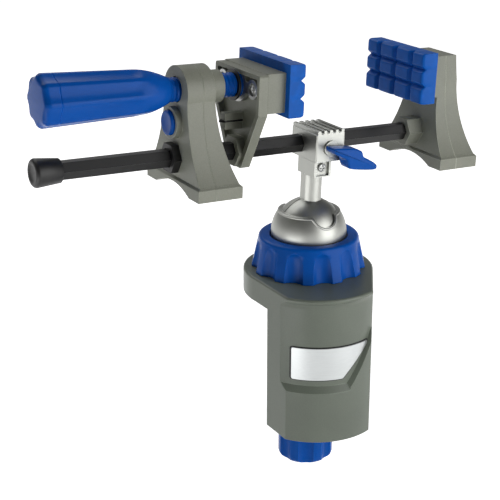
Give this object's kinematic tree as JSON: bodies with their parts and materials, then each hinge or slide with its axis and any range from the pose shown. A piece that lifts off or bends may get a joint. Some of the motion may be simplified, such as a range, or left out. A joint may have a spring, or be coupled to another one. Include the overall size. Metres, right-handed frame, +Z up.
{
  "type": "table-clamp swivel vise",
  "caption": "Table-clamp vise with a ball swivel, a hex bar, a fixed jaw and a quick-release sliding jaw fed by a screw handle.",
  "frame": {"origin": "middle of the upper pad's underside, on the axis of ball and clamp screw", "axes": "+X along the table's front edge, to the right seen from the front; +Y into the table; +Z up"},
  "size_m": [0.3328, 0.1513, 0.3243],
  "materials": {
    "housing_grey": "satin moulded housing",
    "jaw_grey": "satin moulded jaws",
    "blue": "semi-gloss blue moulding",
    "soft_blue": "firm jaw pads",
    "cast_alloy": "polished die casting",
    "badge_silver": "brushed plate",
    "black_steel": "black oxide",
    "black_plastic": "moulded",
    "steel": "bright",
    "nylon": "natural nylon",
    "pad_black": "table pads",
    "brass": "turned"
  },
  "bodies": {
    "base": {"clamp_frame": "housing_grey", "column_cover": "housing_grey", "badge_plate": "badge_silver", "upper_table_pad": "pad_black", "ball_seat": "nylon", "screw_bush": "brass"},
    "lock_ring_body": {"lock_ring": "blue"},
    "socket": {"socket_cup": "cast_alloy"},
    "ball_head": {"ball_stud": "cast_alloy", "clamp_block": "cast_alloy", "block_screw": "steel", "bar_shoe": "brass"},
    "lever": {"wing_lever": "blue", "lever_stud": "steel", "lever_washer": "black_steel"},
    "bar": {"hex_bar": "black_steel", "bar_end_cap": "black_plastic", "fixed_jaw_inner": "jaw_grey", "fixed_jaw_outer": "jaw_grey", "fixed_jaw_pin": "steel", "fixed_jaw_screws": "steel", "fixed_jaw_pad": "soft_blue"},
    "sliding_jaw": {"sliding_jaw_outer": "jaw_grey", "sliding_jaw_inner": "jaw_grey", "sliding_jaw_screws": "steel", "bar_bush": "black_plastic", "feed_nut": "jaw_grey", "lock_plate": "steel", "lock_spring": "steel"},
    "button": {"release_button": "blue"},
    "moving_jaw_body": {"moving_jaw": "jaw_grey", "moving_jaw_pad": "soft_blue", "guide_blade": "black_steel", "collar_retainer": "steel", "retainer_screws": "steel"},
    "handle": {"handle_screw": "blue", "handle_end_cap": "blue", "thrust_ring": "black_steel", "screw_clip": "steel"},
    "shoe": {"clamp_shoe": "housing_grey", "shoe_pad": "pad_black"},
    "clamp_spindle": {"clamp_screw": "steel", "clamp_knob": "blue", "knob_pin": "steel"}
  },
  "joints": [
    {"name": "lock_ring_turn", "type": "hinge", "parent": "base", "child": "lock_ring_body", "pos_m": [0, 0, 0.0325], "axis": [0, 0, 1], "range_deg": [-120, 120]},
    {"name": "head_swivel", "type": "hinge", "parent": "base", "child": "socket", "pos_m": [0, 0, 0.0465], "axis": [0, 0, 1], "continuous": true},
    {"name": "head_tilt", "type": "hinge", "parent": "socket", "child": "ball_head", "pos_m": [0, 0, 0.0465], "axis": [0.9537, 0.3007, 0], "range_deg": [-46, 46]},
    {"name": "lever_turn", "type": "hinge", "parent": "ball_head", "child": "lever", "pos_m": [0.00867, -0.01824, 0.11444], "axis": [-0.3007, 0.9537, 0], "range_deg": [-45, 20]},
    {"name": "bar_slide", "type": "slide", "parent": "ball_head", "child": "bar", "axis": [0.9529, 0.3005, -0.041], "range_m": [-0.035, 0.012]},
    {"name": "jaw_slide", "type": "slide", "parent": "bar", "child": "sliding_jaw", "axis": [0.9529, 0.3005, -0.041], "range_m": [-0.072, 0.03]},
    {"name": "button_press", "type": "slide", "parent": "sliding_jaw", "child": "button", "axis": [0.9529, 0.3005, -0.041], "range_m": [0, 0.003], "stiffness_N_per_m": 300, "springref_m": -0.003},
    {"name": "jaw_feed", "type": "slide", "parent": "sliding_jaw", "child": "moving_jaw_body", "axis": [0.9529, 0.3005, -0.041], "range_m": [-0.009, 0.0042]},
    {"name": "handle_turn", "type": "hinge", "parent": "moving_jaw_body", "child": "handle", "pos_m": [-0.09081, -0.02863, 0.165], "axis": [0.9529, 0.3005, -0.041], "range_deg": [-1081, 505]},
    {"name": "shoe_feed", "type": "slide", "parent": "base", "child": "shoe", "axis": [0, 0, 1], "range_m": [-0.045, 0.015]},
    {"name": "knob_turn", "type": "hinge", "parent": "shoe", "child": "clamp_spindle", "pos_m": [0, 0, -0.1], "axis": [0, 0, 1], "range_deg": [-4051, 1351]}
  ],
  "couplings": [
    {"joint": "handle_turn", "follows": "jaw_feed", "rad_per_m": 2094.4},
    {"joint": "knob_turn", "follows": "shoe_feed", "rad_per_m": 1570.8}
  ]
}
